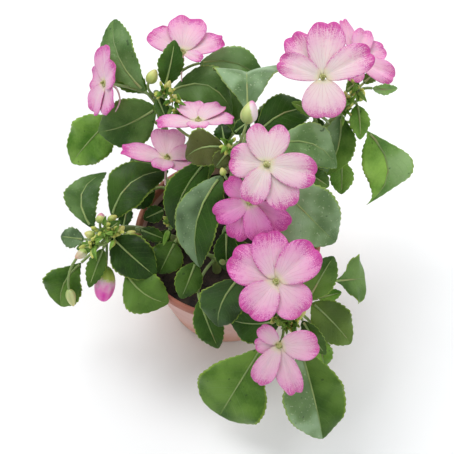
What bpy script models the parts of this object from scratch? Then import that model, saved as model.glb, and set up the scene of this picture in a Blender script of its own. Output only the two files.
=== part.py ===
"""A busy lizzie in bloom, in a tapered clay-red pot with a broad rim.

Metres, +Z up. The origin is the middle of the pot's base, on the surface it stands on.
"""

import math
import random
from typing import NamedTuple

import bmesh
import bpy
from mathutils import Matrix, Vector

MM = 0.001
GAP = 0.3 * MM  # between pieces that touch

# Pot and soil
POT_HEIGHT = 73 * MM
RIM_RADIUS = 60 * MM
RIM_DEPTH = 6 * MM
LIP_WIDTH = 3 * MM
LIP_ROUNDING = 0.8 * MM
BASE_RADIUS = 39.5 * MM
TOP_RADIUS = 58.4 * MM  # of the wall, just under the rim
WALL = 2 * MM
FOOT_BEVEL_HEIGHT = 3 * MM
FOOT_BEVEL_WIDTH = 1.5 * MM
POT_SIDES = 32
DRAIN_COUNT = 5
DRAIN_RADIUS = 4 * MM
DRAIN_RING = 22 * MM
SOIL_DROP = 11 * MM  # from the rim's top down to the soil
SOIL_LUMP = 1.6 * MM
SOIL_RINGS = 2
SOIL_SIDES = 20
HOLE_SIDES = 8
ROOT_DEPTH = 14 * MM  # of the stem holes; the stems reach half as deep
NECK_RISE = 5 * MM  # straight stem above the soil

# Stems and stalks
STEM_FOOT_RADIUS = 3.0 * MM
STEM_TOP_RADIUS = 1.7 * MM
STEM_STEPS = 2  # between one place of a stem and the next
STALK_RADIUS = 1.05 * MM
PEDICEL_RADIUS = 0.8 * MM
STALK_DROP = 9 * MM  # how far below its nearest point a stalk leaves the stem
STALK_BEND = 0.45  # how far back along its end a stalk's curve is drawn
STALK_END = 0.14  # how far a leaf's stalk runs on under its midrib, as a share of the blade

# Blades and petals
BLADE_THICKNESS = 0.8 * MM
BLADE_ROWS = 7
SMALL_ROWS = 5
SMALL_WIDTH = 20  # mm: narrower leaves have fewer rows
TOOTH = 1.1 * MM
BLADE_DROOP = 0.22  # how far a blade's edges turn down again
PETAL_THICKNESS = 0.7 * MM
PETAL_LAYER = 1.3 * MM  # between one petal and the next that it overlaps
PETAL_LAYERS = (0, 1, 0, 1, -1)
PETAL_START = 1.5 * MM  # from the flower's middle to the foot of each petal
PETAL_FOOT = 0.2  # the width of a petal's foot, as a share of its width
PETAL_ROUNDING = 0.23
PETAL_FILL = 0.68  # low for a petal that is broad from its foot on
PETAL_NOTCH = 0.07
THROAT_RADIUS = 2.6 * MM
NECK_LENGTH = 5 * MM

# The plant is set out as someone sees it who looks down at it from the front
EYE_ELEVATION = math.radians(58)
EYE_DISTANCE = 1.0
ACROSS = Vector((1, 0, 0))
UP = Vector((0, math.sin(EYE_ELEVATION), math.cos(EYE_ELEVATION)))
OUT = Vector((0, -math.cos(EYE_ELEVATION), math.sin(EYE_ELEVATION)))
MIDDLE = Vector((0, 0, POT_HEIGHT))

GREEN = ("leaf_green", (0.09, 0.24, 0.05), 0.45)
PINK = ("petal_pink", (0.86, 0.45, 0.72), 0.5)
CLAY = ("clay_red", (0.36, 0.11, 0.07), 0.55)
EARTH = ("soil", (0.035, 0.022, 0.018), 0.95)


class Leaf(NamedTuple):
    """A leaf from the foot of its blade to its tip, both as (across, up, out) in mm; see spot()."""

    foot: tuple
    tip: tuple
    width: float
    roll: float = 0  # degrees about its own length, from facing the eye
    arch: float = 0.1  # how far the midrib rises, as a share of the length
    bow: float = 0.0  # the same, sideways
    fold: float = 0.3  # how far the halves rise from the midrib, as a share of their width
    belly: float = 0.46  # where along its length it is widest
    point: float = 0.75  # low for a blunt, square outline, high for a pointed one


class Bud(NamedTuple):
    """A closed bud from its foot to its tip."""

    foot: tuple
    tip: tuple
    width: float


class Bloom(NamedTuple):
    """An open flower.

    Each petal is its direction in degrees clockwise from the top, its length and its width,
    and how deep its end is notched, as a share of its length, where that isn't as usual.
    """

    stem: str
    centre: tuple
    turn: float  # degrees to the right of facing the eye
    nod: float  # degrees upwards of facing the eye
    lift: float  # how far the petals rise towards the front, as a share of their length
    petals: tuple


# Each stem: where it leaves the soil (x, y), then the places it passes
STEMS = {
    "back_left": ((-17, 13), (-32, 47, 8), (-43, 75, 22), (-46, 92, 34)),
    "left": ((-26, -3), (-56, 3, 10), (-74, 3, 20), (-84, 0, 26)),
    "back_right": ((20, 13), (43, 43, 10), (65, 71, 24), (78, 85, 38)),
    "front_right": ((15, -18), (26, -26, 26), (32, -40, 44), (37, -53, 58)),
    "centre": ((1, 5), (3, 24, 26), (5, 42, 50), (3, 56, 70)),
    "front": ((-7, -20), (-8, -15, 14), (-6, -15, 30), (-3, -18, 44)),
    "right": ((27, -3), (36, 9, 16), (38, 19, 40), (36, 28, 58)),
    "inner": ((-21, 7), (-29, 11, 4), (-35, 11, 16), (-38, 6, 24)),
}

LEAVES = {
    "back_left": (
        Leaf((-53, 92, 34), (-73, 138, 18), 25, roll=-14, bow=-0.1, belly=0.56, point=0.65),
        Leaf((-52, 91, 24), (-75, 109, 4), 18, arch=0.15),
        Leaf((-74, 75, 6), (-100, 46, -8), 32, roll=8),
        Leaf((-46, 81, 30), (-83, 66, 16), 33, roll=-6, bow=-0.06),
        Leaf((-45, 88, 42), (-39, 73, 46), 10),
        Leaf((-40, 96, 36), (-34, 125, 40), 17, roll=14),
        Leaf((-36, 92, 26), (3, 78, 26), 28, roll=-10, bow=-0.25),
        Leaf((-18, 110, 12), (24, 96, 4), 23, bow=-0.18, roll=14),
        Leaf((-40, 36, 2), (-62, 49, -18), 22),
    ),
    "left": (
        Leaf((-74, 11, 28), (-38, 41, 28), 30, roll=-20, bow=-0.17),
        Leaf((-87, 4, 24), (-78, 40, 10), 23, roll=-8, bow=-0.28),
        Leaf((-92, -3, 14), (-107, -1, 4), 14),
        Leaf((-94, -18, 16), (-107, -46, 6), 27, belly=0.6, bow=0.13),
        Leaf((-80, -9, 32), (-89, -34, 30), 13),
        Leaf((-74, -2, 32), (-46, -27, 30), 28, roll=6),
        Leaf((-65, -25, 28), (-38, -44, 26), 29, bow=0.12),
        Leaf((-82, -2, 38), (-69, 9, 36), 9),
        Leaf((-83, -7, 36), (-97, -9, 30), 8),
        Leaf((-67, 4, 4), (-64, 19, -6), 10),
        Leaf((-56, 3, 24), (-40, -3, 24), 10),
    ),
    "back_right": (
        Leaf((58, 77, 42), (41, 85, 50), 9),
        Leaf((56, 75, 24), (59, 66, 14), 10),
        Leaf((73, 76, 34), (63, 38, 28), 23, roll=14, bow=-0.1),
        Leaf((83, 83, 42), (85, 61, 44), 14, roll=-12),
        Leaf((89, 67, 26), (89, 19, 6), 33, bow=-0.26, belly=0.42, point=1.5),
        Leaf((73, 48, 20), (73, 26, 14), 16),
        Leaf((93, 94, 44), (109, 94, 40), 8, roll=30),
        Leaf((87, 97, 24), (96, 105, 14), 9),
        Leaf((76, 92, 34), (84, 99, 28), 8),
        Leaf((53, 54, 8), (72, 66, -10), 22),
        Leaf((42, 34, 4), (60, 50, -20), 24),
    ),
    "front_right": (
        Leaf((52, -42, 56), (68, -14, 46), 20, roll=-8),
        Leaf((68, -30, 46), (88, -28, 32), 31, belly=0.7),
        Leaf((54, -44, 44), (79, -70, 34), 26, roll=-14),
        Leaf((58, -41, 36), (73, -37, 32), 9),
        Leaf((48, -55, 60), (63, -77, 52), 13, roll=12),
        Leaf((58, -66, 38), (62, -85, 28), 15),
        Leaf((47, -75, 48), (61, -131, 30), 40, belly=0.5, roll=-6, fold=0.36),
        Leaf((22, -72, 44), (-5, -116, 18), 48, belly=0.66, roll=6, point=0.55),
        Leaf((34, -55, 48), (1, -54, 34), 26, bow=-0.07),
    ),
    "centre": (
        Leaf((13, 75, 58), (12, 99, 22), 42, arch=0.36, fold=0.4, belly=0.62),
        Leaf((18, 64, 54), (54, 79, 30), 25, bow=-0.12),
        Leaf((30, 58, 64), (70, 43, 48), 27, bow=-0.17, roll=-6),
        Leaf((-4, 38, 80), (-18, -21, 62), 28, bow=0.12, roll=10),
        Leaf((-13, 48, 62), (-35, 4, 42), 23, bow=0.08),
        Leaf((-2, 56, 80), (-27, 49, 72), 24, bow=0.15, roll=-8),
        Leaf((-2, 60, 75), (-4, 71, 73), 12),
        Leaf((4, 65, 74), (14, 73, 66), 10),
        Leaf((1, 54, 86), (-8, 43, 80), 12),
        Leaf((8, 64, 24), (-6, 96, 2), 26),
        Leaf((20, 60, 22), (38, 86, -4), 24),
        Leaf((10, 36, 8), (15, 61, -20), 24),
    ),
    "front": (
        Leaf((6, -29, 58), (-6, -59, 46), 29, roll=-6, bow=0.12),
        Leaf((-18, -42, 34), (-6, -73, 20), 19, roll=6),
        Leaf((-21, -18, 36), (-30, -41, 32), 18, roll=-8),
        Leaf((-34, -5, 22), (-44, -25, 20), 22),
        Leaf((-1, 2, 44), (-1, -23, 36), 16),
        Leaf((3, -2, 24), (11, -24, 17), 18),
    ),
    "right": (
        Leaf((33, 31, 74), (69, -5, 54), 40, roll=4),
        Leaf((50, 40, 52), (65, 31, 46), 14),
        Leaf((42, 11, 20), (62, 4, 10), 20),
    ),
    "inner": (
        Leaf((-41, 16, 24), (-54, 10, 22), 12),
        Leaf((-47, 29, 12), (-63, 18, 8), 15),
        Leaf((-37, 3, 18), (-46, -8, 12), 10),
        Leaf((-14, 34, 8), (-22, 62, -20), 24),
    ),
}

BUDS = {
    "back_left": (
        Bud((-51, 97, 38), (-46, 106, 40), 8),
        Bud((-40, 91, 38), (-37, 99, 42), 5),
        Bud((-36, 86, 36), (-33, 90, 38), 4),
        Bud((-35, 81, 36), (-31, 76, 38), 4),
    ),
    "left": (
        Bud((-82, 7, 34), (-81, 14, 34), 7),
        Bud((-77, 9, 34), (-71, 12, 32), 5),
        Bud((-85, -1, 34), (-92, 1, 34), 6),
        Bud((-75, 0, 36), (-66, 5, 34), 7),
        Bud((-66, -1, 32), (-59, 2, 30), 5),
        Bud((-90, -10, 34), (-98, -15, 32), 6.5),
        Bud((-102, -35, 18), (-99, -46, 14), 7),
    ),
    "back_right": (
        Bud((83, 86, 44), (88, 92, 46), 6),
        Bud((76, 80, 46), (70, 81, 48), 5),
        Bud((76, 87, 44), (75, 92, 46), 4),
    ),
    "front_right": (
        Bud((31, -51, 62), (26, -49, 66), 4),
        Bud((36, -52, 64), (35, -47, 68), 4),
        Bud((45, -52, 62), (50, -49, 66), 5),
    ),
    "centre": (
        Bud((1, 55, 89), (2, 60, 92), 4),
        Bud((-2, 38, 88), (-4, 43, 88), 4.5),
    ),
}

BLOOMS = {
    "bloom_back": Bloom(
        "back_left", (-29, 117, 28), 4, 32, 0.16,
        ((-55, 24, 20), (9, 26, 25), (68, 27, 16), (120, 13, 9), (205, 8, 8)),
    ),
    "bloom_left": Bloom(
        "back_left", (-79, 97, 37), -60, 4, 0.15,
        ((4, 23, 22), (74, 20, 19), (146, 21, 21), (216, 20, 20), (286, 20, 19)),
    ),
    "bloom_upper": Bloom(
        "back_left", (-19, 73, 58), 0, 56, 0.2,
        ((-20, 20, 18), (45, 19, 16), (98, 21, 16), (180, 12, 14), (258, 25, 18)),
    ),
    "bloom_mid_left": Bloom(
        "inner", (-39, 49, 46), 6, 50, 0.2,
        ((0, 26, 22), (75, 17, 16), (130, 18, 16), (195, 15, 14), (276, 28, 18)),
    ),
    "bloom_top_right": Bloom(
        "back_right", (61, 101, 64), -4, 12, 0.1,
        ((6, 35, 24), (64, 33, 21), (178, 25, 27), (291, 28, 17), (325, 33, 20)),
    ),
    "bloom_far_right": Bloom(
        "back_right", (83, 112, 32), 12, 20, 0.12,
        ((-18, 28, 9), (14, 21, 14), (60, 20, 15), (116, 25, 16), (190, 14, 13)),
    ),
    "bloom_middle": Bloom(
        "centre", (25, 45, 98), 0, 4, 0.06,
        ((3, 24, 26, 0.28), (102, 29, 21), (152, 28, 21), (205, 24, 17), (280, 21, 21)),
    ),
    "bloom_lower": Bloom(
        "centre", (14, 21, 88), -8, -20, 0.08,
        ((315, 18, 13), (245, 22, 16), (200, 25, 16), (160, 25, 17), (122, 27, 16)),
    ),
    "bloom_front": Bloom(
        "front_right", (31, -30, 92), 0, 0, 0.06,
        ((-10, 29, 23), (50, 30, 25), (139, 24, 24), (220, 25, 24), (300, 30, 25)),
    ),
    "bloom_bottom": Bloom(
        "front_right", (33, -71, 80), -14, -22, 0.14,
        ((-45, 15, 12), (78, 24, 20), (160, 32, 16), (206, 28, 15), (262, 14, 11)),
    ),
}

# Buds that already show their petals: the stem that carries each, and its shape
PINK_BUDS = {
    "bud_white_pink": ("centre", Bud((12, 71, 84), (16, 86, 84), 11)),
    "bud_magenta": ("left", Bud((-78, -20, 26), (-80, -43, 22), 13)),
}


def spot(across, up, out):
    """A place as the eye sees it: mm right of, above and in front of the middle of the pot's rim.

    Nearer things look larger, so they are set in towards the middle.
    """
    nearness = 1 - out * MM / EYE_DISTANCE
    return MIDDLE + (ACROSS * across + UP * up) * MM * nearness + OUT * out * MM


def collection_named(name):
    found = bpy.data.collections.new(name)
    bpy.context.scene.collection.children.link(found)
    return found


def material_of(look):
    name, colour, roughness = look
    material = bpy.data.materials.get(name) or bpy.data.materials.new(name)
    material.use_nodes = True
    shader = material.node_tree.nodes["Principled BSDF"]
    shader.inputs["Base Color"].default_value = (*colour, 1)
    shader.inputs["Roughness"].default_value = roughness
    return material


def object_from(name, data, collection, look):
    made = bpy.data.objects.new(name, data)
    collection.objects.link(made)
    if not data.materials:
        data.materials.append(material_of(look))
    return made


def evaluated_mesh(source):
    """The object's mesh with its modifiers applied, closed where a curve's caps are loose."""
    bpy.context.view_layer.update()
    graph = bpy.context.evaluated_depsgraph_get()
    mesh = bpy.data.meshes.new_from_object(source.evaluated_get(graph))
    mesh.transform(source.matrix_world)
    bm = bmesh.new()
    bm.from_mesh(mesh)
    bmesh.ops.remove_doubles(bm, verts=bm.verts, dist=0.005 * MM)
    bm.to_mesh(mesh)
    bm.free()
    return mesh


def smoothed(places, steps):
    """Places along a smooth curve through the given ones."""
    path = []
    for i in range(len(places) - 1):
        before = places[max(i - 1, 0)]
        start, end = places[i], places[i + 1]
        after = places[min(i + 2, len(places) - 1)]
        for step in range(steps):
            t = step / steps
            path.append(
                0.5
                * (
                    2 * start
                    + (end - before) * t
                    + (2 * before - 5 * start + 4 * end - after) * t**2
                    + (3 * start - before - 3 * end + after) * t**3
                )
            )
    return [*path, places[-1]]


def tube(name, path, foot_radius, top_radius, collection, look, sides_step=0):
    """A closed tube along the path, as a mesh, tapering from foot to top."""
    curve = bpy.data.curves.new(name, "CURVE")
    curve.dimensions = "3D"
    curve.bevel_depth = foot_radius
    curve.bevel_resolution = sides_step
    curve.use_fill_caps = True
    spline = curve.splines.new("POLY")
    spline.points.add(len(path) - 1)
    for i, (point, place) in enumerate(zip(spline.points, path)):
        point.co = (*place, 1)
        share = i / (len(path) - 1)
        point.radius = 1 + (top_radius / foot_radius - 1) * share
    guide = object_from(name, curve, collection, look)
    mesh = evaluated_mesh(guide)
    bpy.data.objects.remove(guide)
    bpy.data.curves.remove(curve)
    return object_from(name, mesh, collection, look)


def fused(name, pieces, collection, look):
    """One solid made of the pieces, which are then removed."""
    body, others = pieces[0], pieces[1:]
    joined = bpy.data.collections.new(name + "_pieces")
    bpy.context.scene.collection.children.link(joined)
    for piece in others:
        for holder in list(piece.users_collection):
            holder.objects.unlink(piece)
        joined.objects.link(piece)
    union = body.modifiers.new("union", "BOOLEAN")
    union.operation = "UNION"
    union.operand_type = "COLLECTION"
    union.collection = joined
    union.solver = "MANIFOLD"
    mesh = evaluated_mesh(body)
    for piece in pieces:
        bpy.data.objects.remove(piece)
    bpy.data.collections.remove(joined)
    return object_from(name, mesh, collection, look)


def sheet(name, columns, rows, place, thickness, collection, look):
    """A thin closed blade: a grid laid out by place(along, side), both from 0 to 1 and -1 to 1."""
    bm = bmesh.new()
    bmesh.ops.create_grid(bm, x_segments=columns, y_segments=rows, size=1)
    for vertex in bm.verts:
        vertex.co = place((vertex.co.y + 1) / 2, vertex.co.x)
    bmesh.ops.remove_doubles(bm, verts=bm.verts, dist=0.05 * MM)
    bmesh.ops.triangulate(bm, faces=bm.faces)
    mesh = bpy.data.meshes.new(name)
    bm.to_mesh(mesh)
    bm.free()
    made = object_from(name, mesh, collection, look)
    solidify = made.modifiers.new("thickness", "SOLIDIFY")
    solidify.thickness = thickness
    solidify.offset = 0
    solid = evaluated_mesh(made)
    bpy.data.objects.remove(made)
    return object_from(name, solid, collection, look)


def leaf_place(leaf, teeth):
    """The function that lays out a leaf's blade."""
    foot, tip = spot(*leaf.foot), spot(*leaf.tip)
    length = (tip - foot).length
    along_axis = (tip - foot).normalized()
    face = (OUT - OUT.project(along_axis)).normalized()
    face = Matrix.Rotation(math.radians(leaf.roll), 3, along_axis) @ face
    side_axis = along_axis.cross(face)
    skew = math.log(0.5) / math.log(leaf.belly)

    def place(along, side):
        hump = 4 * along * (1 - along)
        half = leaf.width * MM / 2 * math.sin(math.pi * along**skew) ** leaf.point
        row = round(along * teeth)
        if abs(side) > 0.99 and row % 2 and 0 < row < teeth:
            half -= min(TOOTH, 0.2 * half)
        midrib = foot + along_axis * length * along
        midrib += face * leaf.arch * length * hump + side_axis * leaf.bow * length * hump
        rise = half * (leaf.fold * abs(side) - BLADE_DROOP * side**2)
        return midrib + side_axis * half * side + face * rise

    return place


def stalk_path(stem, foot, direction, drop):
    """From a place low on the stem, in a curve, to a foot that it meets along the direction."""
    nearest = min(range(len(stem)), key=lambda i: (stem[i] - foot).length)
    start = stem[nearest]
    while nearest > 0 and (start - stem[nearest]).length < drop:
        nearest -= 1
    start = stem[nearest]
    reach = (foot - start).length
    bend = foot - direction * reach * STALK_BEND
    return [
        start * (1 - t) ** 2 + bend * 2 * t * (1 - t) + foot * t**2
        for t in (0, 0.5, 1)
    ]


def leafy_pieces(name, leaf, stem, collection):
    rows = BLADE_ROWS if leaf.width > SMALL_WIDTH else SMALL_ROWS
    place = leaf_place(leaf, rows)
    blade = sheet(name + "_blade", 2, rows, place, BLADE_THICKNESS, collection, GREEN)
    foot = place(0, 0)
    end = place(STALK_END, 0)
    path = [*stalk_path(stem, foot, (end - foot).normalized(), STALK_DROP), end]
    stalk = tube(name + "_stalk", path, STALK_RADIUS, STALK_RADIUS * 0.8, collection, GREEN)
    return [blade, stalk]


def drop_shape(name, bud, collection, look, sides=6, rings=3):
    """A bud: a ball drawn out to a point at its tip."""
    foot, tip = spot(*bud.foot), spot(*bud.tip)
    length = (tip - foot).length
    bm = bmesh.new()
    bmesh.ops.create_uvsphere(bm, u_segments=sides, v_segments=rings, radius=1)
    for vertex in bm.verts:
        rise = (vertex.co.z + 1) / 2
        slim = 1 - 0.45 * rise**2
        vertex.co.x *= bud.width * MM / 2 * slim
        vertex.co.y *= bud.width * MM / 2 * slim
        vertex.co.z = rise * length
    turn = (tip - foot).to_track_quat("Z", "Y").to_matrix().to_4x4()
    bmesh.ops.transform(bm, matrix=Matrix.Translation(foot) @ turn, verts=bm.verts)
    mesh = bpy.data.meshes.new(name)
    bm.to_mesh(mesh)
    bm.free()
    return object_from(name, mesh, collection, look)


def pedicel(name, stem, foot, direction, sunk, collection):
    """A thin stalk that meets the foot of a bud or bloom, sunk into it or stopping short of it."""
    end = foot + direction * sunk
    path = stalk_path(stem, end, direction, STALK_DROP / 2)
    return tube(name, path, PEDICEL_RADIUS * 1.2, PEDICEL_RADIUS, collection, GREEN)


def bloom_axes(bloom):
    """The way a bloom faces, and its own up and right."""
    turn, nod = math.radians(bloom.turn), math.radians(bloom.nod)
    level = UP * math.sin(nod) + OUT * math.cos(nod)
    face = ACROSS * math.sin(turn) + level * math.cos(turn)
    up = UP * math.cos(nod) - OUT * math.sin(nod)
    return face.normalized(), up, up.cross(face).normalized()


def petal_place(bloom, petal, layer):
    angle, length, width, *notch = petal
    notch = notch[0] if notch else PETAL_NOTCH
    face, up, right = bloom_axes(bloom)
    centre = spot(*bloom.centre)
    away = up * math.cos(math.radians(angle)) + right * math.sin(math.radians(angle))
    side_axis = away.cross(face)

    def place(along, side):
        spread = PETAL_FOOT + (1 - PETAL_FOOT) * math.sin(math.pi * 0.62 * along**PETAL_FILL)
        half = width * MM / 2 * spread
        reach = PETAL_START + length * MM * along * (1 - PETAL_ROUNDING * side**2 * along)
        reach -= notch * length * MM * along**4 * (1 - abs(side)) ** 2
        rise = bloom.lift * length * MM * along + layer * PETAL_LAYER * min(1, 4 * along)
        rise += 0.08 * half * side**2 - 0.1 * length * MM * along**3
        return centre + away * reach + side_axis * half * side + face * rise

    return place


def build_bloom(name, bloom, collection):
    face, _, _ = bloom_axes(bloom)
    centre = spot(*bloom.centre)
    neck = [centre - face * NECK_LENGTH, centre - face * NECK_LENGTH / 2, centre + face * 2 * MM]
    pieces = [tube(name + "_throat", neck, THROAT_RADIUS / 2, THROAT_RADIUS, collection, PINK, 1)]
    for i, petal in enumerate(bloom.petals):
        layer = PETAL_LAYERS[i]
        pieces.append(
            sheet(
                f"{name}_petal_{i}", 4, 2, petal_place(bloom, petal, layer),
                PETAL_THICKNESS, collection, PINK,
            )
        )
    return fused(name, pieces, collection, PINK)


def turned(name, profile, collection, look):
    """A closed profile of (radius, height) turned about the Z axis."""
    bm = bmesh.new()
    rim = [bm.verts.new((radius, 0, height)) for radius, height in profile]
    for first, second in zip(rim, rim[1:]):
        bm.edges.new((first, second))
    mesh = bpy.data.meshes.new(name)
    bm.to_mesh(mesh)
    bm.free()
    made = object_from(name, mesh, collection, look)
    screw = made.modifiers.new("turn", "SCREW")
    screw.axis = "Z"
    screw.steps = screw.render_steps = POT_SIDES
    screw.use_merge_vertices = True
    screw.merge_threshold = 0.01 * MM
    return made


def outside(height):
    """The radius of the wall's outer face at a height."""
    return BASE_RADIUS + (TOP_RADIUS - BASE_RADIUS) * height / (POT_HEIGHT - RIM_DEPTH)


def flower_pot(collection, cutters):
    lip = POT_HEIGHT - RIM_DEPTH
    profile = [
        (0, WALL),
        (outside(WALL) - WALL, WALL),
        (outside(lip) - WALL, lip),
        (RIM_RADIUS - LIP_WIDTH, POT_HEIGHT - LIP_ROUNDING),
        (RIM_RADIUS - LIP_WIDTH / 2, POT_HEIGHT),
        (RIM_RADIUS, POT_HEIGHT - LIP_ROUNDING),
        (RIM_RADIUS, lip),
        (outside(lip), lip),
        (outside(FOOT_BEVEL_HEIGHT), FOOT_BEVEL_HEIGHT),
        (BASE_RADIUS - FOOT_BEVEL_WIDTH, 0),
        (0, 0),
    ]
    pot = turned("pot", profile, collection, CLAY)
    for i in range(DRAIN_COUNT):
        angle = 2 * math.pi * (i + 0.5) / DRAIN_COUNT
        bm = bmesh.new()
        place = Matrix.Translation(
            (DRAIN_RING * math.cos(angle), DRAIN_RING * math.sin(angle), WALL / 2)
        )
        bmesh.ops.create_cone(
            bm, cap_ends=True, segments=8, radius1=DRAIN_RADIUS, radius2=DRAIN_RADIUS,
            depth=4 * WALL, matrix=place,
        )
        cutter_in(bm, f"drain_{i}", cutters)
    cut_by(pot, cutters)
    return pot


def cutter_in(bm, name, cutters):
    mesh = bpy.data.meshes.new(name)
    bm.to_mesh(mesh)
    bm.free()
    cutter = bpy.data.objects.new(name, mesh)
    cutters.objects.link(cutter)
    cutter.hide_render = True
    cutter.display_type = "WIRE"


def cut_by(target, cutters):
    cut = target.modifiers.new("holes", "BOOLEAN")
    cut.operation = "DIFFERENCE"
    cut.operand_type = "COLLECTION"
    cut.collection = cutters
    cut.solver = "EXACT"


def soil(collection, cutters):
    """The soil that fills the pot, lumpy on top, with a hole for each stem."""
    rng = random.Random(7)
    top = POT_HEIGHT - SOIL_DROP
    bottom = WALL + GAP
    edge = outside(top) - WALL - GAP
    bm = bmesh.new()
    bmesh.ops.create_circle(bm, cap_ends=True, segments=SOIL_SIDES, radius=edge)
    for _ in range(SOIL_RINGS):
        bmesh.ops.inset_region(bm, faces=bm.faces[:1], thickness=edge / (SOIL_RINGS + 1))
        bm.faces.ensure_lookup_table()
    for vertex in bm.verts:
        lump = 0 if vertex.co.length > edge - MM else 1
        vertex.co.z = top + lump * rng.uniform(-1, 1) * SOIL_LUMP
    bmesh.ops.triangulate(bm, faces=bm.faces)
    base = bmesh.ops.extrude_face_region(bm, geom=bm.faces[:])
    share = (outside(bottom) - WALL - GAP) / edge
    for vertex in (v for v in base["geom"] if isinstance(v, bmesh.types.BMVert)):
        vertex.co = (vertex.co.x * share, vertex.co.y * share, bottom)
    bmesh.ops.recalc_face_normals(bm, faces=bm.faces)
    mesh = bpy.data.meshes.new("soil")
    bm.to_mesh(mesh)
    bm.free()
    made = object_from("soil", mesh, collection, EARTH)
    for name, (root, *_) in STEMS.items():
        bm = bmesh.new()
        place = Matrix.Translation((root[0] * MM, root[1] * MM, top))
        radius = STEM_FOOT_RADIUS + 2 * GAP
        bmesh.ops.create_cone(
            bm, cap_ends=True, segments=HOLE_SIDES, radius1=radius, radius2=radius,
            depth=2 * ROOT_DEPTH, matrix=place,
        )
        cutter_in(bm, f"hole_{name}", cutters)
    cut_by(made, cutters)
    return made


def stem_path(name):
    """The stem's centreline, straight up out of the soil and then through its places."""
    (x, y), *places = STEMS[name]
    ground = POT_HEIGHT - SOIL_DROP
    foot = Vector((x * MM, y * MM, ground - ROOT_DEPTH / 2))
    neck = Vector((x * MM, y * MM, ground + NECK_RISE))
    return [foot, *smoothed([neck, *(spot(*p) for p in places)], STEM_STEPS)]


def build_shoot(name, collection):
    stem = stem_path(name)
    pieces = [
        tube(name + "_stem", stem, STEM_FOOT_RADIUS, STEM_TOP_RADIUS, collection, GREEN, 1)
    ]
    for i, leaf in enumerate(LEAVES.get(name, ())):
        pieces += leafy_pieces(f"{name}_leaf_{i}", leaf, stem, collection)
    for i, bud in enumerate(BUDS.get(name, ())):
        label = f"{name}_bud_{i}"
        pieces.append(drop_shape(label, bud, collection, GREEN))
        foot, tip = spot(*bud.foot), spot(*bud.tip)
        way = (tip - foot).normalized()
        pieces.append(pedicel(label + "_stalk", stem, foot, way, 1 * MM, collection))
    for label, bloom in BLOOMS.items():
        if bloom.stem == name:
            face, _, _ = bloom_axes(bloom)
            foot = spot(*bloom.centre) - face * NECK_LENGTH
            pieces.append(pedicel(label + "_stalk", stem, foot, face, -2 * GAP, collection))
    for label, (owner, bud) in PINK_BUDS.items():
        if owner == name:
            foot, tip = spot(*bud.foot), spot(*bud.tip)
            way = (tip - foot).normalized()
            pieces.append(pedicel(label + "_stalk", stem, foot, way, -2 * GAP, collection))
    return fused("shoot_" + name, pieces, collection, GREEN)


def main():
    for old in list(bpy.data.objects):
        bpy.data.objects.remove(old)
    plant = collection_named("busy_lizzie")
    drains = collection_named("drain_cutters")
    holes = collection_named("stem_hole_cutters")
    flower_pot(plant, drains)
    soil(plant, holes)
    for name in STEMS:
        build_shoot(name, plant)
    for name, bloom in BLOOMS.items():
        build_bloom(name, bloom, plant)
    for name, (_, bud) in PINK_BUDS.items():
        drop_shape(name, bud, plant, PINK, sides=8, rings=6)


main()
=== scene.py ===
import math
import random
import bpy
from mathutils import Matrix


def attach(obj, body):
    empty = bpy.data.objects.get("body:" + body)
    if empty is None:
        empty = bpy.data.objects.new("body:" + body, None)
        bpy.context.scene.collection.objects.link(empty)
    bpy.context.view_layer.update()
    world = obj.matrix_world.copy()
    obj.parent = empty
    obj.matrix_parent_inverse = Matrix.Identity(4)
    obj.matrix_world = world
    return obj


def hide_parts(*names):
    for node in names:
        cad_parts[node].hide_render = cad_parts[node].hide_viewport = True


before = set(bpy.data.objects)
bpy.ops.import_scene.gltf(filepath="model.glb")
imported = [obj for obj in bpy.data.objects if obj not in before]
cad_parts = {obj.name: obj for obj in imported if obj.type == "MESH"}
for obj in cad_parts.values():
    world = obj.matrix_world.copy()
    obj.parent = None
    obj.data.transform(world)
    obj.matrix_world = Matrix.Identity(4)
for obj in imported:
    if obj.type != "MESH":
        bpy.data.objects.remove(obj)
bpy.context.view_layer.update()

from types import SimpleNamespace

import bmesh
import bpy
from mathutils import Matrix, Vector, noise

mm = 0.001
weld = 0.01 * mm
scene = bpy.context.scene

# the plant is set out as the camera sees it: across, up and out from the middle of the pot's rim, in mm
view = {
    "elevation": 58, "distance": 1.0, "rimHeight": 73, "lens": 123.5, "shiftX": -0.0015, "shiftY": 0.0167,
}
tilt = math.radians(view["elevation"])
acrossAxis = Vector((1, 0, 0))
upAxis = Vector((0, math.sin(tilt), math.cos(tilt)))
outAxis = Vector((0, -math.cos(tilt), math.sin(tilt)))
middle = Vector((0, 0, view["rimHeight"] * mm))


def spot(across, up, out):
    nearness = 1 - out * mm / view["distance"]  # what stands nearer the camera would look larger
    return middle + (acrossAxis * across + upAxis * up) * mm * nearness + outAxis * out * mm


# shader maths, written as sums on values
class Value:
    def __init__(self, tree, socket):
        self.tree = tree
        self.socket = socket

    def math(self, operation, *others):
        return self.tree.node("ShaderNodeMath", {"operation": operation}, [self, *others])[0]

    def __add__(self, other):
        return self.math("ADD", other)

    def __sub__(self, other):
        return self.math("SUBTRACT", other)

    def __rsub__(self, other):
        return (self * -1) + other

    def __mul__(self, other):
        return self.math("MULTIPLY", other)

    def __truediv__(self, other):
        return self.math("DIVIDE", other)

    def __pow__(self, other):
        return self.math("POWER", other)

    def __abs__(self):
        return self.math("ABSOLUTE")

    __radd__ = __add__
    __rmul__ = __mul__

    def fract(self):
        return self.math("FRACT")

    def sine(self):
        return self.math("SINE")

    def step(self, low, high):  # 0 below low, 1 above high, smooth between
        settings = {"interpolation_type": "SMOOTHSTEP"}
        ends = {"Value": self, "From Min": low, "From Max": high}
        return self.tree.node("ShaderNodeMapRange", settings, ends)[0]


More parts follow.
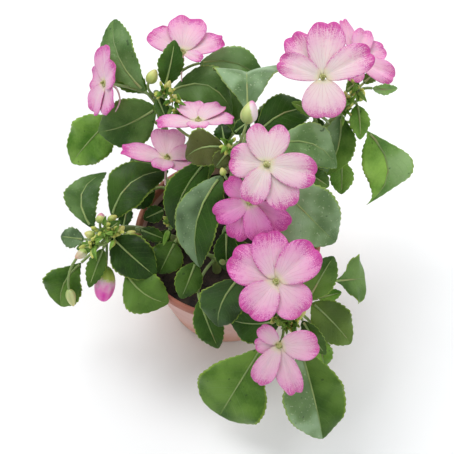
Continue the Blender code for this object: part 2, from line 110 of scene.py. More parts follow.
class Tree:
    def __init__(self, name):
        self.material = bpy.data.materials.new(name)
        self.material.use_nodes = True
        self.nodes = self.material.node_tree.nodes
        self.links = self.material.node_tree.links
        self.shader = self.nodes["Principled BSDF"]

    def node(self, kind, settings=None, inputs=None):  # gives a value for each of its outputs
        node = self.nodes.new(kind)
        for key, setting in (settings or {}).items():
            setattr(node, key, setting)
        pairs = inputs.items() if isinstance(inputs, dict) else enumerate(inputs or [])
        for key, given in pairs:
            self.feed(node.inputs[key], given)
        return [Value(self, socket) for socket in node.outputs]

    def feed(self, socket, given):
        if isinstance(given, Value):
            self.links.new(given.socket, socket)
        else:
            socket.default_value = given

    def mix(self, amount, first, second):
        settings = {"data_type": "RGBA", "clamp_factor": True}
        first, second = [(*colour, 1) if isinstance(colour, tuple) else colour for colour in (first, second)]
        ends = {0: amount, 6: first, 7: second}  # the colour ends lie after those for numbers and vectors
        return self.node("ShaderNodeMix", settings, ends)[2]

    def coats(self, colour, *layers):  # each layer is how much, from 0 to 1, and of what
        for amount, over in layers:
            colour = self.mix(amount, colour, over)
        return colour

    def object(self):
        return self.node("ShaderNodeTexCoord")[3]

    def noise(self, scale, detail, vector=None):
        inputs = {"Vector": vector or self.object(), "Scale": scale, "Detail": detail, "Roughness": 0.55}
        return self.node("ShaderNodeTexNoise", {}, inputs)[0]

    def cells(self, scale):  # 0 on the lines between cells
        settings = {"feature": "DISTANCE_TO_EDGE"}
        return self.node("ShaderNodeTexVoronoi", settings, {"Vector": self.object(), "Scale": scale})[0]

    def split(self, vector):
        return self.node("ShaderNodeSeparateXYZ", {}, [vector])

    def uv(self):  # across a sheet, and along it from its foot
        return self.split(self.node("ShaderNodeUVMap", {"uv_map": "UVMap"})[0])[:2]

    def look(self):  # the four numbers that a sheet or bud carries
        read = self.node("ShaderNodeAttribute", {"attribute_name": "look"})
        return *self.node("ShaderNodeSeparateColor", {}, [read[0]]), read[3]

    def bump(self, height, distance, strength):
        inputs = {"Height": height, "Distance": distance, "Strength": strength}
        self.feed(self.shader.inputs["Normal"], self.node("ShaderNodeBump", {}, inputs)[0])

    def set(self, **sockets):
        for name, given in sockets.items():
            socket = self.shader.inputs[name.replace("_", " ")]
            if socket.type == "RGBA" and isinstance(given, tuple):
                given = (*given, 1)
            self.feed(socket, given)
        return self.material


# side veins, in the leaf's form and in its colour
leafVeins = {"pairs": 8, "lean": 1.7, "curve": 1.3, "stagger": 0.5}

leafLook = {
    "broad": 42, "fine": 620, "cells": 560, "spots": 330, "dots": 900, "specular": 0.2,
    "deepDark": (0.006, 0.022, 0.001), "deepPale": (0.070, 0.205, 0.010),
    "freshDark": (0.018, 0.066, 0.002), "freshPale": (0.330, 0.560, 0.095),
    # the sheen colour is a painted reflection of the sky on the glossy leaves
    "olive": (0.110, 0.105, 0.030), "paintedSheen": (0.300, 0.430, 0.250), "net": (0.13, 0.24, 0.05),
    "vein": (0.16, 0.29, 0.05), "midrib": (0.24, 0.38, 0.09), "margin": (0.32, 0.46, 0.06),
    "spot": (0.016, 0.034, 0.008), "dot": (0.42, 0.50, 0.30),
    "flesh": {"Subsurface_Weight": 0.05, "Subsurface_Scale": 0.002, "Subsurface_Radius": (0.4, 0.9, 0.2)},
}
leafUnderLook = {
    "dark": (0.095, 0.175, 0.045), "pale": (0.165, 0.270, 0.080), "tone": (0.32, 0.44, 0.18),
    "olive": (0.20, 0.20, 0.09), "vein": (0.33, 0.44, 0.20), "midrib": (0.40, 0.50, 0.23), "specular": 0.3,
}


def leafPattern(tree):
    u, v = tree.uv()
    tone, olive, chance, paintedSheen = tree.look()
    side = abs(u * 2 - 1)
    half = u.math("GREATER_THAN", 0.5)
    broad = tree.noise(leafLook["broad"], 2)
    fine = tree.noise(leafLook["fine"], 4)
    midrib = 1 - (side * (1.3 - v)).step(0.004, 0.020)
    # side veins leave the midrib in turn and curve forwards towards the tip
    march = v * leafVeins["pairs"] - side * leafVeins["lean"] - side * side * leafVeins["curve"]
    march = (march + half * leafVeins["stagger"] + (broad - 0.5) * 0.5 + chance).fract()
    branch = (1 - abs(march - 0.5).step(0.008, 0.055)) * (1 - side.step(0.55, 0.95))
    return SimpleNamespace(v=v, tone=tone, olive=olive, chance=chance, paintedSheen=paintedSheen, side=side, half=half,
                           broad=broad, fine=fine, midrib=midrib, branch=branch)


def paintedSheenOnHalf(paintedSheen, half):
    # a painted sheen of 1 and more keeps to the half right of the midrib, of 2 and more to the other half
    lit = paintedSheen.math("LESS_THAN", 1) + paintedSheen.step(0.99, 1) * (2 - paintedSheen).step(0, 0.01) * half
    return paintedSheen.fract() * (lit + paintedSheen.step(1.99, 2) * (1 - half))


def leafTopMaterial():
    tree, look = Tree("leafTop"), leafLook
    leaf = leafPattern(tree)
    # painted sheen: a painted reflection of the sky that turns the green a pale blue-grey green
    paintedSheen = paintedSheenOnHalf(leaf.paintedSheen, leaf.half)
    net = 1 - tree.cells(look["cells"]).step(0.0, 0.10)
    margin = leaf.side.step(0.90, 0.995)
    # tone is partly the leaf's own green and partly painted shade, low on the leaves deep in the plant
    bright = leaf.tone ** 1.8
    deep = tree.mix(bright, look["deepDark"], look["deepPale"])
    fresh = tree.mix(bright, look["freshDark"], look["freshPale"])
    shade = leaf.broad * 0.85 + leaf.fine * 0.15 + leaf.half * (leaf.chance - 0.5) * 0.3
    shade = shade + (leaf.v - 0.5) * (0.4 - leaf.chance) * 0.3
    spots = 1 - tree.noise(look["spots"], 1).step(0.24, 0.28)
    dots = tree.noise(look["dots"], 0).step(0.72, 0.78) * paintedSheen
    green = tree.coats(
        deep, (shade.step(0.30, 0.70), fresh), (leaf.olive, look["olive"]),
        (paintedSheen * (0.3 + 0.7 * leaf.broad.step(0.38, 0.62)), look["paintedSheen"]), (net * 0.07, look["net"]),
        (leaf.branch * 0.13, look["vein"]), (leaf.midrib * 0.34, look["midrib"]),
        (margin * (0.35 + 0.6 * leaf.fine), look["margin"]), (spots * 0.55, look["spot"]),
        (dots * 0.6, look["dot"]),
    )
    tree.bump(leaf.fine * 0.2 - net * 0.2 - leaf.branch * 0.6 - leaf.midrib * 0.9, 0.0003, 0.6)
    tree.set(Specular_IOR_Level=look["specular"], **look["flesh"])
    return tree.set(Base_Color=green, Roughness=0.33 + leaf.fine * 0.18 + net * 0.06)


def leafUnderMaterial():
    tree, look = Tree("leafUnder"), leafUnderLook
    leaf = leafPattern(tree)
    green = tree.coats(
        look["dark"], (leaf.broad, look["pale"]), (leaf.tone * leaf.tone * 0.45, look["tone"]),
        (leaf.olive * 0.6, look["olive"]), (leaf.branch * 0.40, look["vein"]),
        (leaf.midrib * 0.70, look["midrib"]),
    )
    tree.bump(leaf.fine * 0.2 + leaf.branch * 0.7 + leaf.midrib * 0.9, 0.0003, 0.6)
    tree.set(Specular_IOR_Level=look["specular"], **leafLook["flesh"])
    return tree.set(Base_Color=green, Roughness=0.52 + leaf.fine * 0.15)


stemLook = {
    "broad": 60, "fine": 900, "flushes": 120, "dark": (0.14, 0.23, 0.055), "pale": (0.30, 0.40, 0.12),
    "flush": (0.24, 0.085, 0.05), "streak": (0.46, 0.52, 0.26),
    "flesh": {"Subsurface_Weight": 0.15, "Subsurface_Scale": 0.002, "Subsurface_Radius": (0.5, 0.9, 0.2)},
}


def stemMaterial():
    tree = Tree("stemFlesh")
    broad = tree.noise(stemLook["broad"], 2)
    fine = tree.noise(stemLook["fine"], 3)
    flush = tree.noise(stemLook["flushes"], 1).step(0.56, 0.74)
    green = tree.coats(
        stemLook["dark"], (broad.step(0.3, 0.7), stemLook["pale"]), (flush * 0.4, stemLook["flush"]),
        (fine * 0.18, stemLook["streak"]),
    )
    tree.bump(fine, 0.0002, 0.5)
    tree.set(Coat_Weight=0.12, **stemLook["flesh"])
    return tree.set(Base_Color=green, Roughness=0.36 + fine * 0.12)


budLook = {
    "fine": 800, "blotch": 260, "ribs": 40, "foot": (0.25, 0.38, 0.03), "tip": (0.70, 0.72, 0.15),
    "pale": (0.56, 0.63, 0.30), "rib": (0.16, 0.24, 0.04), "brown": (0.26, 0.17, 0.035),
    "magenta": (0.68, 0.04, 0.38), "pink": (0.80, 0.24, 0.54), "white": (0.80, 0.66, 0.68),
}


def budMaterial():
    tree, look = Tree("budSkin"), budLook
    u, v = tree.uv()
    flush, pale, chance, brown = tree.look()
    fine = tree.noise(look["fine"], 3)
    blotch = tree.noise(look["blotch"], 2)
    ribs = (u * look["ribs"] + fine * 2).sine() * 0.5 + 0.5
    pink = tree.mix(ribs * 0.5, look["magenta"], look["pink"])
    pink = tree.mix((v + blotch * 0.3 - pale * 0.35).step(0.38, 0.82), look["white"], pink)
    # the flush starts at the tip, and on a pale bud reaches further down one side
    reach = v + fine * 0.15 + ((u + chance) * math.tau).sine() * pale * 0.42 - pale * 0.14
    colour = tree.coats(
        look["foot"], (v.step(0.1, 0.8), look["tip"]), (pale * 0.6, look["pale"]),
        (ribs * 0.22, look["rib"]), (brown * (0.4 + 0.6 * fine), look["brown"]),
        (flush * reach.step(0.40, 0.52), pink),
    )
    tree.bump(ribs * 0.6 + fine * 0.4, 0.0003, 0.5)
    tree.set(Subsurface_Weight=0.12, Subsurface_Scale=0.002)
    return tree.set(Base_Color=colour, Roughness=0.42 + fine * 0.1)


petalLook = {
    "fine": 1100, "blotch": 330, "lace": 1100, "streak": 1.6, "veins": 2.6,
    "white": (0.78, 0.62, 0.63), "wash": (0.78, 0.28, 0.56), "cream": (0.74, 0.69, 0.58),
    "blush": (0.76, 0.19, 0.51), "speckle": (0.52, 0.050, 0.31), "rim": (0.54, 0.050, 0.30),
    "vein": (0.50, 0.13, 0.28), "throat": (0.70, 0.66, 0.34),
}


def petalMaterial():
    tree, look = Tree("petalVelvet"), petalLook
    u, v = tree.uv()
    depth, blush, chance, cream = tree.look()
    across = u * 2 - 1
    side = abs(across)
    fine = tree.noise(look["fine"], 4)
    blotch = tree.noise(look["blotch"], 3)
    fan = across / (v * 0.9 + 0.25)  # runs with the veins, which spread from the throat
    grain = tree.node("ShaderNodeCombineXYZ", {}, [fan * 9 + chance * 30, v * 1.6, chance * 7])[0]
    streak = tree.noise(look["streak"], 3, grain)
    edge = (side ** 3.2 * 0.72).math("MAXIMUM", v ** 2.3)
    edge = edge + (streak - 0.5) * 0.62 + (blotch - 0.5) * 0.42 + (fine - 0.5) * 0.22
    lace = 1 - tree.cells(look["lace"]).step(0.04, 0.30)
    speckle = edge.step(0.20, 0.80) * (lace * 0.5 + fine * 0.6 + streak * 0.9 - 1.0).step(0.0, 0.22)
    wash = (v * 0.75 + side * 0.35 + blotch * 0.35).step(0.2, 1.25)
    rim = edge.step(0.54, 0.98) * (0.30 + 0.62 * depth) * (0.45 + 0.7 * streak + 0.4 * lace)
    vein = 1 - abs((fan * look["veins"] + blotch * 0.6).fract() - 0.5).step(0.02, 0.09)
    colour = tree.coats(
        look["white"], (wash * (0.55 + 0.45 * depth), look["wash"]),
        (cream * (1 - wash * 0.5) * 0.9, look["cream"]), (blush * (0.55 + 0.45 * wash), look["blush"]),
        (speckle * (0.30 + 0.6 * depth), look["speckle"]), (rim, look["rim"]),
        (vein * (1 - v.step(0.2, 0.75)) * 0.42, look["vein"]),
        ((1 - v.step(0.02, 0.16)) * 0.6, look["throat"]),
    )
    tree.bump(streak * 0.7 + fine * 0.3, 0.0004, 0.55)
    tree.set(Subsurface_Weight=0.10, Subsurface_Scale=0.0015, Sheen_Weight=0.12, Specular_IOR_Level=0.35)
    return tree.set(Base_Color=colour, Roughness=0.56 + fine * 0.12)


eyeLook = {"fine": 1500, "lumps": 600, "dark": (0.22, 0.25, 0.04), "pale": (0.60, 0.57, 0.26)}


def eyeMaterial():
    tree = Tree("bloomEye")
    fine = tree.noise(eyeLook["fine"], 3)
    lump = tree.noise(eyeLook["lumps"], 2)
    colour = tree.mix(lump.step(0.35, 0.65), eyeLook["dark"], eyeLook["pale"])
    tree.bump(fine, 0.0002, 0.6)
    return tree.set(Base_Color=colour, Roughness=0.5 + fine * 0.1)


# two colours run into each other on a leaf's edge and on a spur
edgeLook = {"noise": (420, 3), "ends": ((0.17, 0.27, 0.03), (0.44, 0.52, 0.11)), "rough": (0.4, 0.2)}
spurLook = {"noise": (500, 2), "ends": ((0.62, 0.36, 0.42), (0.72, 0.55, 0.50)), "rough": (0.45, 0.1)}


def mottledMaterial(name, look):
    tree = Tree(name)
    fine = tree.noise(*look["noise"])
    least, more = look["rough"]
    colour = tree.mix(fine.step(0.35, 0.65), *look["ends"])
    return tree.set(Base_Color=colour, Roughness=fine * more + least)


# the pot's heights are in metres, as its shader reads them
potLook = {
    "cloud": 28, "fine": 900, "rings": 5200, "rimFoot": (0.0655, 0.0672), "lowWall": (0.018, 0.048),
    "clayDark": (0.34, 0.105, 0.065), "clayPale": (0.47, 0.175, 0.115),
    "wallDark": (0.60, 0.345, 0.30), "wallPale": (0.70, 0.45, 0.41), "low": (0.72, 0.33, 0.21),
    "ring": (0.30, 0.12, 0.08), "scuff": (0.78, 0.58, 0.52),
}


def potMaterial():
    tree, look = Tree("potClay"), potLook
    height = tree.split(tree.object())[2]
    cloud = tree.noise(look["cloud"], 4)
    fine = tree.noise(look["fine"], 4)
    rings = (height * look["rings"] + cloud * 5).sine() * 0.5 + 0.5
    bleached = tree.mix(cloud.step(0.35, 0.65), look["wallDark"], look["wallPale"])
    low = 1 - (height + cloud * 0.02).step(*look["lowWall"])
    scuff = (fine * 0.7 + cloud * 0.3).step(0.60, 0.68)
    colour = tree.coats(
        look["clayDark"], (cloud.step(0.3, 0.7), look["clayPale"]),
        ((1 - height.step(*look["rimFoot"])) * 0.93, bleached), (low * 0.55, look["low"]),
        (rings * 0.05, look["ring"]), (scuff * 0.3, look["scuff"]),
    )
    tree.bump(rings * 0.25 + fine * 0.5, 0.00022, 0.5)
    return tree.set(Base_Color=colour, Roughness=0.52 + fine * 0.16)


soilLook = {
    "broad": 140, "fine": 900, "dark": (0.010, 0.007, 0.006), "pale": (0.050, 0.030, 0.022),
    "fibre": (0.16, 0.095, 0.06),
}


def soilMaterial():
    tree = Tree("pottingSoil")
    broad = tree.noise(soilLook["broad"], 4)
    fine = tree.noise(soilLook["fine"], 5)
    colour = tree.mix(broad.step(0.3, 0.7), soilLook["dark"], soilLook["pale"])
    colour = tree.mix(fine.step(0.6, 0.72) * 0.6, colour, soilLook["fibre"])
    tree.bump(broad * 0.6 + fine * 0.5, 0.0012, 0.9)
    return tree.set(Base_Color=colour, Roughness=0.78 + fine * 0.18)


looks = {
    "top": leafTopMaterial(), "under": leafUnderMaterial(), "edge": mottledMaterial("leafEdge", edgeLook),
    "stem": stemMaterial(), "bud": budMaterial(), "petal": petalMaterial(), "eye": eyeMaterial(),
    "spur": mottledMaterial("bloomSpur", spurLook), "pot": potMaterial(), "soil": soilMaterial(),
}
print("materials made")


# every finished piece rides the one body and stands for a node
def finished(name, mesh, node, materials, shell=None):
    piece = bpy.data.objects.new(name, mesh)
    scene.collection.objects.link(piece)
    for material in materials:
        mesh.materials.append(looks[material])
    if shell:
        solid = piece.modifiers.new("shell", "SOLIDIFY")
        for key, setting in shell.items():
            setattr(solid, key, setting)
    mesh.shade_smooth()
    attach(piece, "root")
    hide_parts(node)


def meshFrom(bm, name):
    mesh = bpy.data.meshes.new(name)
    bm.to_mesh(mesh)
    bm.free()
    return mesh


def frozen(thing):  # the mesh that an object and its modifiers make
    bpy.context.view_layer.update()
    return bpy.data.meshes.new_from_object(thing.evaluated_get(bpy.context.evaluated_depsgraph_get()))


def spun(outline, sides):  # an outline of radius and height, turned round the upright
    bm = bmesh.new()
    points = [bm.verts.new((radius, 0, height)) for radius, height in outline]
    edges = [bm.edges.new(pair) for pair in zip(points, points[1:])]
    bmesh.ops.spin(bm, geom=points + edges, axis=(0, 0, 1), cent=(0, 0, 0), steps=sides, angle=math.tau,
                   use_merge=True)
    bmesh.ops.remove_doubles(bm, verts=bm.verts, dist=weld)
    bmesh.ops.recalc_face_normals(bm, faces=bm.faces)
    return bm


def startSheets():
    bm = bmesh.new()
    bm.loops.layers.uv.new("UVMap")
    return SimpleNamespace(bm=bm, look=bm.verts.layers.float_color.new("look"))


def addSheet(sheets, columns, rows, place, look):
    made = bmesh.ops.create_grid(sheets.bm, x_segments=columns, y_segments=rows, size=1, calc_uvs=True)
    for vertex in made["verts"]:
        across, along = vertex.co.x, (vertex.co.y + 1) / 2
        vertex[sheets.look] = look
        vertex.co = place(along, across)


potShape = {
    "baseRadius": 39.5, "wallRadius": 58.4, "rimRadius": 60, "rimHeight": view["rimHeight"], "rimDepth": 6,
    "lip": 3, "wall": 2, "cornerWidth": 3.5, "cornerHeight": 3.6, "underRim": 0.4, "sides": 128,
    "footBevel": 2.0, "footWidth": 6, "footSlope": 0.6, "hollow": 0.5,
    "drains": 5, "drainRing": 22, "drainRadius": 4, "drainSides": 24, "drainLength": 8,
    # edges are rounded by steps out and up from a corner, or from the wall at a height
    "mouthEdge": ((-0.1, -1.8), (0.3, -0.5), (1.0, 0)),
    "lipEdge": ((-0.9, 0), (-0.25, -0.4), (0, -1.2)),
    "skirtEdge": ((-0.15, 0.7), (-0.5, 0.1), (-1.1, 0)),
    "heelEdge": ((3.0, 0, 0), (1.0, -0.7, -0.2)),
}


def wallRadius(height):
    rise = potShape["rimHeight"] - potShape["rimDepth"]
    return potShape["baseRadius"] + (potShape["wallRadius"] - potShape["baseRadius"]) * height / rise


def potOutline():
    p = potShape
    top, low, base = p["rimHeight"], p["rimHeight"] - p["rimDepth"], p["baseRadius"]
    mouth = p["rimRadius"] - p["lip"]
    return [
        (0, p["wall"]), (wallRadius(p["wall"]) - p["cornerWidth"], p["wall"]),
        (wallRadius(p["cornerHeight"]) - p["wall"], p["cornerHeight"]), (wallRadius(low) - p["wall"], low),
        *((mouth + out, top + up) for out, up in p["mouthEdge"]),
        *((p["rimRadius"] + out, top + up) for out, up in p["lipEdge"]),
        *((p["rimRadius"] + out, low + up) for out, up in p["skirtEdge"]),
        (wallRadius(low), low - p["underRim"]),
        *((wallRadius(height) + out, height + up) for height, out, up in p["heelEdge"]),
        (base - p["footBevel"], 0), (base - p["footWidth"], 0),
        (base - p["footWidth"] - p["footSlope"], p["hollow"]), (0, p["hollow"]),
    ]


def drainDrills():
    p = potShape
    drills = bmesh.new()
    for i in range(p["drains"]):
        angle = math.tau * (i + 0.5) / p["drains"]
        reach, radius = p["drainRing"] * mm, p["drainRadius"] * mm
        place = Matrix.Translation((reach * math.cos(angle), reach * math.sin(angle), mm))
        bmesh.ops.create_cone(drills, cap_ends=True, segments=p["drainSides"], radius1=radius,
                              radius2=radius, depth=p["drainLength"] * mm, matrix=place)
    return drills


def makePot():
    turned = spun([(radius * mm, height * mm) for radius, height in potOutline()], potShape["sides"])
    rough = bpy.data.objects.new("rough", meshFrom(turned, "pot_fine"))
    cutter = bpy.data.objects.new("drainCutter", meshFrom(drainDrills(), "drainCutter"))
    for spare in (cutter, rough):
        scene.collection.objects.link(spare)
    rough.modifiers.new("drains", "BOOLEAN").object = cutter
    mesh = frozen(rough)
    for spare in (rough, cutter):
        bpy.data.objects.remove(spare)
    finished("pot_fine", mesh, "pot", ["pot"])


soilShape = {
    "drop": 11, "floor": 2.3, "gap": 0.3, "floorGap": 1.5, "sides": 96, "rings": 40, "skin": 0.1,
    "lump": 1.5, "lumpScale": 90, "grain": 0.6, "grainScale": 420, "fade": 4,
    "crumbs": 420, "seed": 7, "crumbRadius": 1.1, "crumbInset": 2.5, "crumbRise": (-0.2, 1.0),
    "crumbSides": ((0.6, 1.6), (0.5, 1.0), (0.4, 0.8)),
}


def makeSoil():
    s = soilShape
    rng = random.Random(s["seed"])
    level = potShape["rimHeight"] - s["drop"]
    top = level * mm
    edge = (wallRadius(level) - potShape["wall"] - s["gap"]) * mm
    base = (wallRadius(s["floor"]) - potShape["wall"] - s["floorGap"]) * mm
    outline = [(edge * i / s["rings"], top) for i in range(s["rings"] + 1)]
    bm = spun([*outline, (base, s["floor"] * mm), (0, s["floor"] * mm)], s["sides"])
    for vertex in bm.verts:
        if vertex.co.z > top - s["skin"] * mm:
            fade = min(1, max(0, (edge - vertex.co.xy.length) / (s["fade"] * mm)))
            lump = noise.noise(vertex.co * s["lumpScale"]) * s["lump"]
            lump += noise.noise(vertex.co * s["grainScale"]) * s["grain"]
            vertex.co.z += lump * mm * fade
    for _ in range(s["crumbs"]):
        reach = (edge - s["crumbInset"] * mm) * math.sqrt(rng.random())
        angle = rng.uniform(0, math.tau)
        rise = rng.uniform(*s["crumbRise"]) * mm
        place = Matrix.Translation((reach * math.cos(angle), reach * math.sin(angle), top + rise))
        turn = Matrix.Rotation(rng.uniform(0, 3), 4, "Z") @ Matrix.Rotation(rng.uniform(0, 3), 4, "X")
        size = Matrix.Diagonal((*(rng.uniform(*ends) for ends in s["crumbSides"]), 1))
        bmesh.ops.create_icosphere(bm, subdivisions=1, radius=s["crumbRadius"] * mm,
                                   matrix=place @ turn @ size)
    finished("soil_fine", meshFrom(bm, "soil_fine"), "soil", ["soil"])


makePot()
makeSoil()
print("pot and soil made")


# a leaf is its foot and tip, each across, up and out, its width, and where it differs from a plain one:
# tone runs from 0, dark, to 1, bright; a painted sheen past 1 or 2 keeps to the half right or left of the
# midrib
# the low tones of the leaves deep in the plant are partly painted shade
shoots = {}
shoots["back_left"] = {
    "root": (-17, 13), "stem": ((-32, 47, 8), (-43, 75, 22), (-46, 92, 34)),
    "leaves": [
        ((-53, 92, 34), (-73, 138, 18), 25,
         {"roll": -14, "bow": -0.1, "belly": 0.56, "point": 0.65, "tone": 0.65, "paintedSheen": 0.3}),
        ((-52, 91, 24), (-75, 109, 4), 18, {"arch": 0.15, "tone": 0.6}),
        ((-74, 75, 6), (-100, 46, -8), 32, {"roll": 8, "tone": 0.8}),
        ((-46, 81, 30), (-83, 66, 16), 33, {"roll": -6, "bow": -0.06, "tone": 0.5, "paintedSheen": 0.1}),
        ((-45, 88, 42), (-39, 73, 46), 10, {"tone": 0.35}),
        ((-40, 96, 36), (-34, 125, 40), 17, {"roll": 14, "tone": 0.5}),
        ((-36, 92, 26), (3, 78, 26), 28, {"roll": -10, "bow": -0.25, "tone": 0.42, "paintedSheen": 0.12}),
        ((-18, 110, 12), (24, 96, 4), 23, {"bow": -0.18, "roll": 14, "tone": 0.8, "paintedSheen": 0.6}),
        ((-40, 36, 2), (-62, 49, -18), 22, {"tone": 0.35}),
    ],
    "buds": [
        ((-51, 97, 38), (-46, 106, 40), 8, {"pale": 0.5}),
        ((-40, 91, 38), (-37, 99, 42), 5, {}),
        ((-36, 86, 36), (-33, 90, 38), 4, {}),
        ((-35, 81, 36), (-31, 76, 38), 4, {"pink": 0.1}),
    ],
    "sprigs": ((-35, 87, 44), (-29, 79, 42), (-42, 92, 42)),
}
shoots["left"] = {
    "root": (-26, -3), "stem": ((-56, 3, 10), (-74, 3, 20), (-84, 0, 26)),
    "leaves": [
        ((-74, 11, 28), (-38, 41, 28), 30, {"roll": -20, "bow": -0.17, "tone": 0.28}),
        ((-87, 4, 24), (-78, 40, 10), 23, {"roll": -8, "bow": -0.28, "tone": 0.5, "paintedSheen": 0.2}),
        ((-92, -3, 14), (-107, -1, 4), 14, {"tone": 0.4, "paintedSheen": 0.55}),
        ((-94, -18, 16), (-107, -46, 6), 27, {"belly": 0.6, "bow": 0.13, "tone": 0.55}),
        ((-80, -9, 32), (-89, -34, 30), 13, {"tone": 0.45}),
        ((-74, -2, 32), (-46, -27, 30), 28, {"roll": 6, "tone": 0.15}),
        ((-65, -25, 28), (-38, -44, 26), 29, {"bow": 0.12, "tone": 0.5}),
        ((-82, -2, 38), (-69, 9, 36), 9, {"tone": 0.5}),
        ((-83, -7, 36), (-97, -9, 30), 8, {"tone": 0.6}),
        ((-67, 4, 4), (-64, 19, -6), 10, {"tone": 0.1}),
        ((-56, 3, 24), (-40, -3, 24), 10, {"tone": 0.25}),
    ],
    "buds": [
        ((-82, 7, 34), (-81, 14, 34), 7, {"pink": 0.7, "pale": 0.5}),
        ((-77, 9, 34), (-71, 12, 32), 5, {}),
        ((-85, -1, 34), (-92, 1, 34), 6, {}),
        ((-75, 0, 36), (-66, 5, 34), 7, {"pale": 0.2}),
        ((-66, -1, 32), (-59, 2, 30), 5, {}),
        ((-90, -10, 34), (-98, -15, 32), 6.5, {"pink": 0.45, "pale": 0.4}),
        ((-102, -35, 18), (-99, -46, 14), 7, {"pale": 0.9}),
    ],
    "sprigs": ((-80, 3, 38), (-72, 1, 38), (-87, -5, 36)),
}
shoots["back_right"] = {
    "root": (20, 13), "stem": ((43, 43, 10), (65, 71, 24), (78, 85, 38)),
    "leaves": [
        ((58, 77, 42), (41, 85, 50), 9, {"tone": 0.6}),
        ((56, 75, 24), (59, 66, 14), 10, {"tone": 0.3}),
        ((73, 76, 34), (63, 38, 28), 23, {"roll": 14, "bow": -0.1, "tone": 0.6, "paintedSheen": 1.5}),
        ((83, 83, 42), (85, 61, 44), 14, {"roll": -12, "tone": 0.85}),
        ((89, 67, 26), (89, 19, 6), 33,
         {"bow": -0.26, "belly": 0.42, "point": 1.5, "tone": 1.0, "paintedSheen": 2.6}),
        ((73, 48, 20), (73, 26, 14), 16, {"tone": 0.8}),
        ((93, 94, 44), (109, 94, 40), 8, {"roll": 30, "tone": 1.0, "paintedSheen": 0.7}),
        ((87, 97, 24), (96, 105, 14), 9, {"tone": 0.6}),
        ((76, 92, 34), (84, 99, 28), 8, {"tone": 0.75}),
        ((53, 54, 8), (72, 66, -10), 22, {"tone": 0.4}),
        ((42, 34, 4), (60, 50, -20), 24, {"tone": 0.4}),
    ],
    "buds": [
        ((83, 86, 44), (88, 92, 46), 6, {"pale": 0.1}),
        ((76, 80, 46), (70, 81, 48), 5, {}),
        ((76, 87, 44), (75, 92, 46), 4, {}),
    ],
    "sprigs": ((79, 87, 46), (74, 80, 46), (82, 93, 44)),
}
shoots["front_right"] = {
    "root": (15, -18), "stem": ((26, -26, 26), (32, -40, 44), (37, -53, 58)),
    "leaves": [
        ((52, -42, 56), (68, -14, 46), 20, {"roll": -8, "tone": 0.5}),
        ((68, -30, 46), (88, -28, 32), 31, {"belly": 0.7, "tone": 0.58, "paintedSheen": 0.15}),
        ((54, -44, 44), (79, -70, 34), 26, {"roll": -14, "tone": 0.7, "olive": 0.35}),
        ((58, -41, 36), (73, -37, 32), 9, {"tone": 0.95}),
        ((48, -55, 60), (63, -77, 52), 13, {"roll": 12, "tone": 0.35}),
        ((58, -66, 38), (62, -85, 28), 15, {"tone": 0.9}),
        ((47, -75, 48), (61, -131, 30), 40,
         {"belly": 0.5, "roll": -6, "fold": 0.36, "tone": 0.5, "paintedSheen": 1.97}),
        ((22, -72, 44), (-5, -116, 18), 48, {"belly": 0.66, "roll": 6, "point": 0.55, "tone": 0.6}),
        ((34, -55, 48), (1, -54, 34), 26, {"bow": -0.07, "tone": 0.15}),
    ],
    "buds": [
        ((31, -51, 62), (26, -49, 66), 4, {}),
        ((36, -52, 64), (35, -47, 68), 4, {}),
        ((45, -52, 62), (50, -49, 66), 5, {}),
    ],
    "sprigs": ((37, -56, 66), (31, -54, 66), (43, -56, 64)),
}
shoots["centre"] = {
    "root": (1, 5), "stem": ((3, 24, 26), (5, 42, 50), (3, 56, 70)),
    "leaves": [
        ((13, 75, 58), (12, 99, 22), 42,
         {"arch": 0.36, "fold": 0.4, "belly": 0.62, "tone": 0.55, "paintedSheen": 0.95}),
        ((18, 64, 54), (54, 79, 30), 25, {"bow": -0.12, "tone": 0.12}),
        ((30, 58, 64), (70, 43, 48), 27, {"bow": -0.17, "roll": -6, "tone": 0.65, "paintedSheen": 0.7}),
        ((-4, 38, 80), (-18, -21, 62), 28, {"bow": 0.12, "roll": 10, "tone": 0.2, "paintedSheen": 1.55}),
        ((-13, 48, 62), (-35, 4, 42), 23, {"bow": 0.08, "tone": 0.2}),
        ((-2, 56, 80), (-27, 49, 72), 24, {"bow": 0.15, "roll": -8, "tone": 0.3, "olive": 0.8}),
        ((-2, 60, 75), (-4, 71, 73), 12, {"tone": 0.15}),
        ((4, 65, 74), (14, 73, 66), 10, {"tone": 0.1}),
        ((1, 54, 86), (-8, 43, 80), 12, {"tone": 0.35, "olive": 0.6}),
        ((8, 64, 24), (-6, 96, 2), 26, {"tone": 0.35}),
        ((20, 60, 22), (38, 86, -4), 24, {"tone": 0.35}),
        ((10, 36, 8), (15, 61, -20), 24, {"tone": 0.35}),
    ],
    "buds": [
        ((1, 55, 89), (2, 60, 92), 4, {}),
        ((-2, 38, 88), (-4, 43, 88), 4.5, {}),
    ],
    "sprigs": ((1, 57, 84),),
}
shoots["front"] = {
    "root": (-7, -20), "stem": ((-8, -15, 14), (-6, -15, 30), (-3, -18, 44)),
    "leaves": [
        ((6, -29, 58), (-6, -59, 46), 29, {"roll": -6, "bow": 0.12, "tone": 0.1, "paintedSheen": 0.08}),
        ((-18, -42, 34), (-6, -73, 20), 19, {"roll": 6, "tone": 0.5}),
        ((-21, -18, 36), (-30, -41, 32), 18, {"roll": -8, "tone": 0.38}),
        ((-34, -5, 22), (-44, -25, 20), 22, {"tone": 0.38}),
        ((-1, 2, 44), (-1, -23, 36), 16, {"tone": 0.05}),
        ((3, -2, 24), (11, -24, 17), 18, {"tone": 0.2}),
    ],
    "buds": [],
    "sprigs": (),
}
shoots["right"] = {
    "root": (27, -3), "stem": ((36, 9, 16), (38, 19, 40), (36, 28, 58)),
    "leaves": [
        ((33, 31, 74), (69, -5, 54), 40, {"roll": 4, "tone": 0.6, "paintedSheen": 0.95}),
        ((50, 40, 52), (65, 31, 46), 14, {"tone": 0.5}),
        ((42, 11, 20), (62, 4, 10), 20, {"tone": 0.35}),
    ],
    "buds": [],
    "sprigs": (),
}
